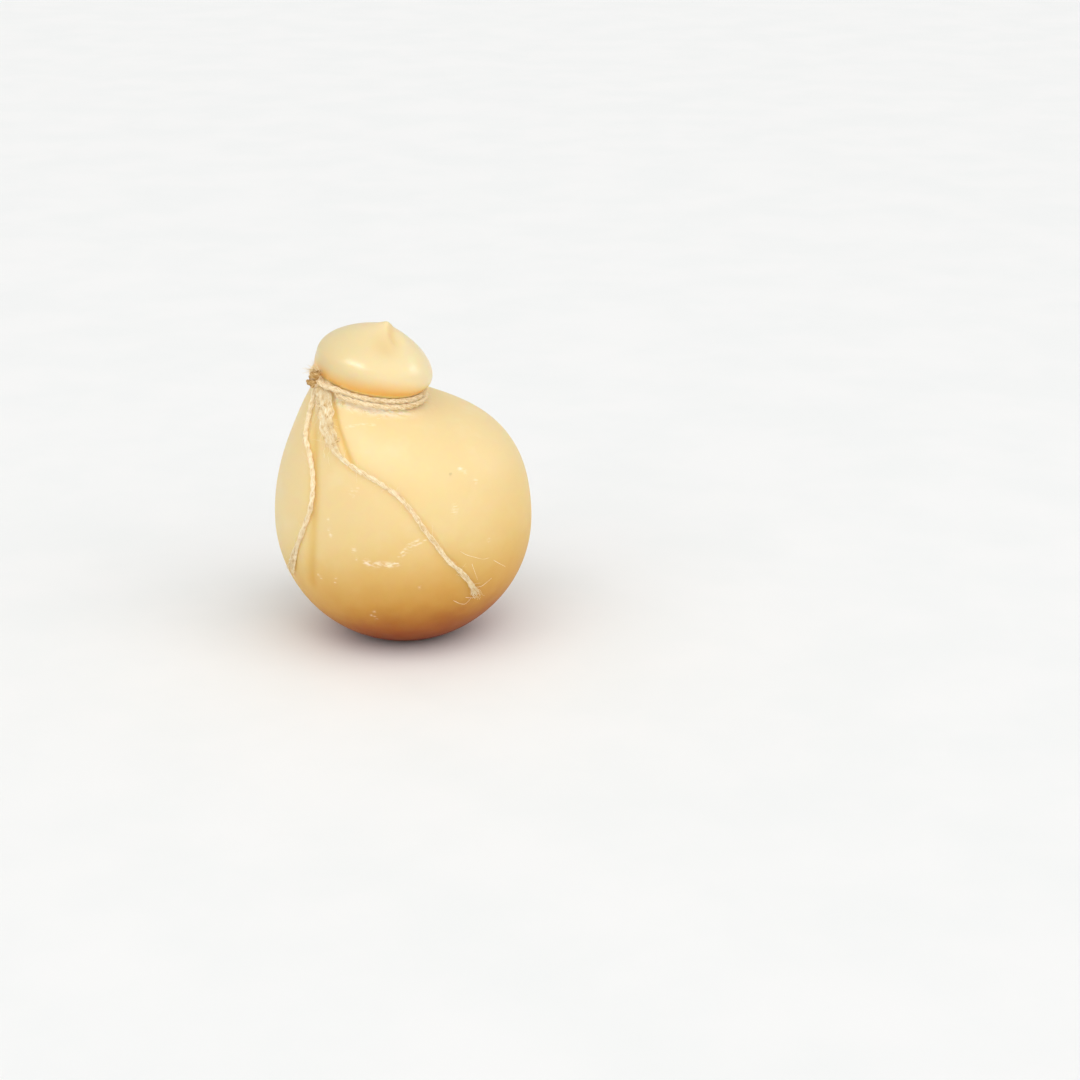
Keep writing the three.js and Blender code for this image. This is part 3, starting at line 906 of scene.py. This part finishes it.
neckLook = {
    "start": 222.5, "sweep": 687.5, "stops": 97,
    "left": (222.0, 0.02855, 0.1326, -30.0),     # turn, radius, height and angle of the pair
    "right": (250.0, 0.02820, 0.1309, 112.0),
    "apart": 0.0028,
    "lead": ((216.5, 0.0318, 0.1332), (219.4, 0.0308, 0.1325)),       # from the knot to the first turn
    "tuck": ((198.0, 0.0291, 0.1308), (205.0, 0.0305, 0.1316), (211.5, 0.0318, 0.1326)),
    "radius": 0.00138, "lay": 0.0098,
    "hairs": 300, "hairReach": (0.0010, 0.0042),
    "frayed": (0.54, 0.62, 120),      # the lower strand is fluffy in front: from, to, fibres
    "frayedReach": (0.0012, 0.0040),
    "fluff": (         # turn and height of a frayed ply below it
        (238.0, 0.1272), (245.2, 0.1272), (254.0, 0.1268), (261.8, 0.1264), (268.8, 0.1259),
        (275.8, 0.1256), (283.0, 0.1254), (289.0, 0.1256),
    ),
    "fluffLift": 0.0009, "fluffFibres": 80, "fluffThick": (0.00006, 0.00012),
    "lint": 130, "lintTurns": (232, 246, 292), "lintHeights": (0.1235, 0.1270, 0.1285),
    "lintTop": 0.1286, "lintThick": (0.00004, 0.00008),
    "seed": 21,
}


def addFluff(heap, look, axis, rng):   # a frayed ply, and lint that lies below it
    turns, heights = np.array(look["fluff"]).T
    path = smoothRoute(offSide(turns, heights, look["fluffLift"]), ropeLook["step"])[0]
    count, t = look["fluffFibres"], steps(14)
    at = rng.uniform(0, 0.8, (count, 1)) + rng.uniform(0.1, 0.2, (count, 1)) * t
    base = readAlong(at, steps(len(path)), path)
    lift = rng.uniform(-0.0006, 0.0009, (count, 1)) + wander(rng, count, t, 0.6, 0.0004)
    rise = rng.uniform(-0.0012, 0.0010, (count, 1)) + wander(rng, count, t, 0.6, 0.0006)
    lines = base + lift[..., None] * unit(base - axis) + rise[..., None] * np.array((0, 0, 1))
    heap.strew(rng, lines, look["fluffThick"], (0.0, 0.15))
    count, t = look["lint"], steps(6)
    turns = rng.triangular(*look["lintTurns"], (count, 1)) + rng.normal(0, 5.0, (count, 1)) * t
    heights = rng.triangular(*look["lintHeights"], (count, 1)) + rng.normal(0, 0.0012, (count, 1)) * t
    lifts = 0.00015 + 0.0009 * wander(rng, count, t, 0.9) ** 2
    lines = offSide(turns, np.minimum(heights, look["lintTop"]), lifts)
    heap.strew(rng, lines, look["lintThick"], (0.0, 0.2))


def makeNeckTwine(look):
    rng = np.random.default_rng(look["seed"])
    swept = np.linspace(0, look["sweep"], look["stops"])
    turn = look["start"] + swept % 360
    cross = smoothStep(turn, look["left"][0], look["right"][0])
    radius, height, angle = (mixed(a, b, cross) for a, b in zip(look["left"][1:], look["right"][1:]))
    aside = np.where(swept < 360, 0.5, -0.5) * look["apart"]
    radius = radius + aside * np.cos(np.radians(angle))
    height = height + aside * np.sin(np.radians(angle))
    lead, tuck = (leaned(*np.array(look[end]).T) for end in ("lead", "tuck"))
    route = np.vstack([lead, leaned(turn, radius, height), tuck])
    heap, fuzz, fluff = FibreHeap(), FibreHeap(), FibreHeap()
    spine, length = layRope(heap, route, dict(ropeLook, radius=look["radius"], lay=look["lay"]), rng)
    rope = heap.piece("neck_turns", twineFinish, "twine")
    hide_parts("neck_twine")
    axis = leaned(0.0, 0.0, cheeseForm["neckHeight"])
    addHairs(fuzz, spine, unit(spine - axis), look["hairs"], look["hairReach"], rng)
    start, end, count = look["frayed"]
    worn = spine[int(start * len(spine)):int(end * len(spine))]
    addHairs(fuzz, worn, unit(unit(worn - axis) - (0, 0, 0.6)), count, look["frayedReach"], rng)
    fuzz.piece("neck_fuzz", fibreFinish, "twine")
    addFluff(fluff, look, axis, rng)
    fluff.piece("neck_fluff", lintFinish, "twine")
    print("neck twine is", round(length * 1000), "mm long")


makeNeckTwine(neckLook)


# knot: wraps of twine over the two ends, with a short tuft on top

knotLook = {
    "place": (215.0, 0.0328, 0.134, 16.0),      # turn, radius, height and slant
    "wraps": 2.75, "stops": 34, "length": 0.0058, "coil": 0.0017,
    "strand": 0.00110, "step": 0.0005, "shades": (1.0, 1.3),
    "ends": ((0.0009, 0.0046), (-0.0009, 0.0040)),      # shift and reach of each
    "hairs": 60, "hairReach": (0.0010, 0.0032),
    "tuft": 46, "tuftStart": 0.0036, "tuftAim": (-0.75, -0.15, 0.65),
    "tuftReach": (0.0020, 0.0062), "tuftThick": (0.00005, 0.00011),
    "seed": 31,
}


def makeKnot(look):
    rng = np.random.default_rng(look["seed"])
    turn, radius, height, slant = look["place"]
    slant, dip = math.radians(slant), 0.001
    middle = leaned(turn, radius, height)
    down = unit(leaned(turn, radius + dip * math.sin(slant), height - dip * math.cos(slant)) - middle)
    across = unit(np.cross(down, (0.0, 1.0, 0.2)))
    over = np.cross(down, across)
    heap, fuzz = FibreHeap(), FibreHeap()
    angle = np.linspace(0, 2 * math.pi * look["wraps"], look["stops"])
    along = np.linspace(-0.5, 0.5, look["stops"]) * look["length"] + 0.0004 * np.sin(angle * 0.5)
    coil = look["coil"] * (1 + 0.07 * np.sin(angle * 1.7))
    wraps = middle + along[:, None] * down + roundAbout(coil, angle, across, over)
    knotRope = dict(ropeLook, radius=look["strand"], step=look["step"], shades=look["shades"])
    spine = layRope(heap, wraps, knotRope, rng)[0]
    for shift, reach in look["ends"]:
        t = np.linspace(-1, 1, 9)[:, None]
        ends = middle + t * reach * down + shift * across + 0.0004 * np.sin(3 * t) * over
        layRope(heap, ends, knotRope, rng)
    knot = heap.piece("knot_wraps", twineFinish, "twine")
    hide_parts("knot")
    addHairs(fuzz, spine, unit(spine - middle), look["hairs"], look["hairReach"], rng)
    count, t = look["tuft"], steps(8)[None, :, None]
    aim = unit(np.array(look["tuftAim"]) + rng.normal(0, 0.42, (count, 3)))
    start = middle - down * look["tuftStart"] + rng.normal(0, 0.0009, (count, 3))
    lines = (start[:, None] + rng.uniform(*look["tuftReach"], (count, 1, 1))
             * (t * aim[:, None] + t * t * rng.normal(0, 0.22, (count, 1, 3))))
    fuzz.strew(rng, lines, look["tuftThick"], (0.5, 1.0), taper=0.6)
    fuzz.piece("knot_tuft", fibreFinish, "twine")


makeKnot(knotLook)
print("knot made")


# frayed bundle: loose fibres matted together below the knot

bundleLook = {
    "stations": (      # turn, height, lift, half width, half thickness
        (215.0, 0.1266, 0.0040, 0.0022, 0.0015), (217.6, 0.1260, 0.0026, 0.0032, 0.0016),
        (220.9, 0.1252, 0.0022, 0.0040, 0.0017), (224.4, 0.1238, 0.0021, 0.0044, 0.0017),
        (227.8, 0.1217, 0.0021, 0.0040, 0.0017), (230.8, 0.1188, 0.0020, 0.0034, 0.0016),
        (233.2, 0.1156, 0.0019, 0.0032, 0.0015), (235.5, 0.1130, 0.0018, 0.0031, 0.0015),
        (237.6, 0.1106, 0.0018, 0.0027, 0.0014), (239.8, 0.1084, 0.0017, 0.0022, 0.0013),
        (241.8, 0.1067, 0.0017, 0.0016, 0.00125),
    ),
    "merge": (         # the fibres go on into the right tail
        (243.1, 0.1059, 0.0018, 0.00105, 0.00105), (245.2, 0.1043, 0.0018, 0.00075, 0.00095),
        (248.2, 0.1029, 0.0018, 0.00045, 0.00080),
    ),
    "flat": 0.75,      # of the thickness, as the fibres lie
    "clumps": 12, "clumpRadius": 0.00074, "clumpFull": 0.0042,      # half width of the bundle there
    "fibresInClump": 14, "fibreThick": (0.00011, 0.00019), "shades": (0.1, 0.3, 0.6, 1.0),
    "hairs": 110, "hairReach": (0.0018, 0.0065), "hairStart": 0.0018,
    "curls": 60, "curlThick": (0.00005, 0.00010),
    "strays": 90, "strayTurns": (208, 216, 238), "strayTop": 0.1280, "strayThick": (0.00004, 0.00008),
    "snags": ((232.8, 0.1136, 0.6, 6), (242.4, 0.1122, -3.0, 5)),      # turn, height, turn aside, fibres
    "snagThick": (0.00006, 0.00011),
    "seed": 41,
}


def addClumps(heap, look, spine, across, out, wide, thick, rng):   # each sways through the bundle on its own
    t, count = steps(len(spine)), look["fibresInClump"]
    for clump in range(look["clumps"]):
        place = mixed(-0.88, 0.88, (clump + 0.5) / look["clumps"])
        aside = place + wander(rng, 1, t, 0.45, 0.32)[0]
        proud = rng.uniform(-0.35, 0.45) * math.sqrt(1 - place ** 2) + wander(rng, 1, t, 0.5, 0.40)[0]
        middle = spine + (aside * wide)[:, None] * across + (proud * thick)[:, None] * out
        fat = look["clumpRadius"] * np.clip(wide / look["clumpFull"], 0.42, 1.05)
        fat = fat * (1 + wander(rng, 1, t, 0.4, 0.25)[0])
        # a dark core under each clump: painted shade in the gaps between its fibres
        heap.add(middle[None], fat[None] * 0.8, 8, 0.9)
        spin = (2 * math.pi * np.arange(count)[:, None] / count + 2 * math.pi * rng.uniform(-0.6, 0.9) * t
                + wander(rng, count, t, 0.35, 0.5))
        ring = fat * (0.92 + wander(rng, count, t, 0.3, 0.28))
        lines = middle + roundAbout(ring, spin, across, out)
        shade = rng.choice(look["shades"])
        heap.add(lines, rng.uniform(*look["fibreThick"], (count, 1)), 4,
                 np.clip(shade + rng.normal(0, 0.2, count), 0, 1))


def makeBundle(look):
    rng = np.random.default_rng(look["seed"])
    turns, heights, lifts, wide, thick = np.array(look["stations"] + look["merge"]).T
    spine = smoothRoute(offSide(turns, heights, lifts), ropeLook["step"])[0]
    stops, t = steps(len(turns)), steps(len(spine))
    out = unit(readAlong(t, stops, sideNormal(turns, heights)))
    across = unit(np.cross(np.gradient(spine, axis=0), out))
    wide, thick = np.interp(t, stops, wide), np.interp(t, stops, thick * look["flat"])
    heap, fuzz = FibreHeap(), FibreHeap()
    addClumps(heap, look, spine, across, out, wide, thick, rng)
    bundle = heap.piece("frayed_strands", fibreFinish, "fibre")
    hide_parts("frayed_bundle")
    addHairs(fuzz, spine, out, look["hairs"], look["hairReach"], rng, start=look["hairStart"])
    count, s = look["curls"], steps(16)
    at = rng.uniform(0.1, 0.9, (count, 1)) + rng.uniform(-0.18, 0.18, (count, 1)) * s
    base, side, top = (readAlong(at, t, rows) for rows in (spine, across, out))
    sway = rng.uniform(-0.9, 0.9, (count, 1)) + wander(rng, count, s, 0.7, 0.25)
    rise = 0.0014 + 0.0010 * rng.uniform(0, 1, (count, 1)) * np.sin(math.pi * s)
    lines = base + (sway * np.interp(at, t, wide))[..., None] * side + rise[..., None] * top
    fuzz.strew(rng, lines, look["curlThick"], (0.0, 0.5))
    count = look["strays"]
    turns = (rng.triangular(*look["strayTurns"], (count, 1)) + rng.normal(2.0, 3.0, (count, 1)) * s
             + wander(rng, count, s, 0.7, 0.8))
    heights = 0.1275 - np.maximum(turns[:, :1] - 218, 0) * 0.00095      # along the bundle
    heights = heights - rng.uniform(0.002, 0.010, (count, 1)) * s
    lines = offSide(turns, np.minimum(heights, look["strayTop"]), rng.uniform(0.0004, 0.0022, (count, 1)))
    fuzz.strew(rng, lines, look["strayThick"], (0.0, 0.9), sides=3)
    # loose fibre ends, their dark shades partly painted shade
    for turn, height, aside, count in look["snags"]:
        turns = turn + rng.normal(0, 0.4, (count, 1)) + (aside + rng.normal(0, 1.2, (count, 1))) * s
        heights = height + rng.normal(0, 0.0003, (count, 1)) - rng.uniform(0.0006, 0.0026, (count, 1)) * s
        lines = offSide(turns, heights, rng.uniform(0.0022, 0.0032, (count, 1)))
        fuzz.strew(rng, lines, look["snagThick"], (0.9, 1.3))
    fuzz.piece("frayed_fuzz", fibreFinish, "fibre")


makeBundle(bundleLook)
print("frayed bundle made")


# floor and light

stageLook = {
    "floor": "#f0f0ef",
    "floorPatch": "#edeeed",
    "floorSize": 14.0,
    "world": 0.61,
    "suns": (        # name, turn, rise, strength, softness
        ("softLeft", 240.0, 46.0, 0.96, 60.0),
        ("softRight", 320.0, 47.0, 1.08, 60.0),
    ),
    "lampAim": (-0.018, -0.020, 0.146),      # both softboxes give the head its glints
    "lamps": (       # name, turn, rise, distance, width, height, watts
        ("boxLeft", 241.0, 57.0, 1.3, 0.80, 0.22, 16.0),
        ("boxRight", 17.0, 23.0, 1.2, 0.13, 0.26, 3.0),
    ),
}


def addLamp(data, turn, rise, aim, distance):   # stands off its aim in a given direction
    turn, rise = math.radians(turn), math.radians(rise)
    away = Vector((math.cos(turn) * math.cos(rise), math.sin(turn) * math.cos(rise), math.sin(rise)))
    lamp = bpy.data.objects.new(data.name, data)
    lamp.location = Vector(aim) + away * distance
    lamp.rotation_euler = away.to_track_quat("Z", "Y").to_euler()
    link(lamp)
    return lamp


def makeStage(look):
    size = look["floorSize"] / 2
    corners = [(-size, -size, 0), (size, -size, 0), (size, size, 0), (-size, size, 0)]
    mesh = bpy.data.meshes.new("floor")
    mesh.from_pydata(corners, [], [(0, 1, 2, 3)])
    floor = bpy.data.objects.new("floor", mesh)
    link(floor)
    material, tree, shader = newMaterial("paleFloor")
    colour = addBlend(tree, addCloud(tree, 0.08, 0.3, 0.7), tone(look["floor"]), tone(look["floorPatch"]))
    tree.links.new(colour, shader.inputs["Base Color"])
    shader.inputs["Roughness"].default_value = 0.75
    mesh.materials.append(material)
    world = bpy.data.worlds.new("studio")
    world.use_nodes = True
    glow = world.node_tree.nodes["Background"].inputs
    glow["Color"].default_value, glow["Strength"].default_value = (1.0, 1.0, 1.0, 1.0), look["world"]
    bpy.context.scene.world = world
    for name, turn, rise, strength, softness in look["suns"]:
        data = bpy.data.lights.new(name, "SUN")
        data.energy, data.angle = strength, math.radians(softness)
        addLamp(data, turn, rise, (0, 0, 0), 1.0)
    for name, turn, rise, distance, width, height, watts in look["lamps"]:
        data = bpy.data.lights.new(name, "AREA")
        data.shape = "RECTANGLE"
        data.size, data.size_y, data.energy = width, height, watts
        box = addLamp(data, turn, rise, look["lampAim"], distance)
        box.visible_diffuse = False
    bpy.context.scene.view_settings.view_transform = "Standard"


makeStage(stageLook)
print("stage set")
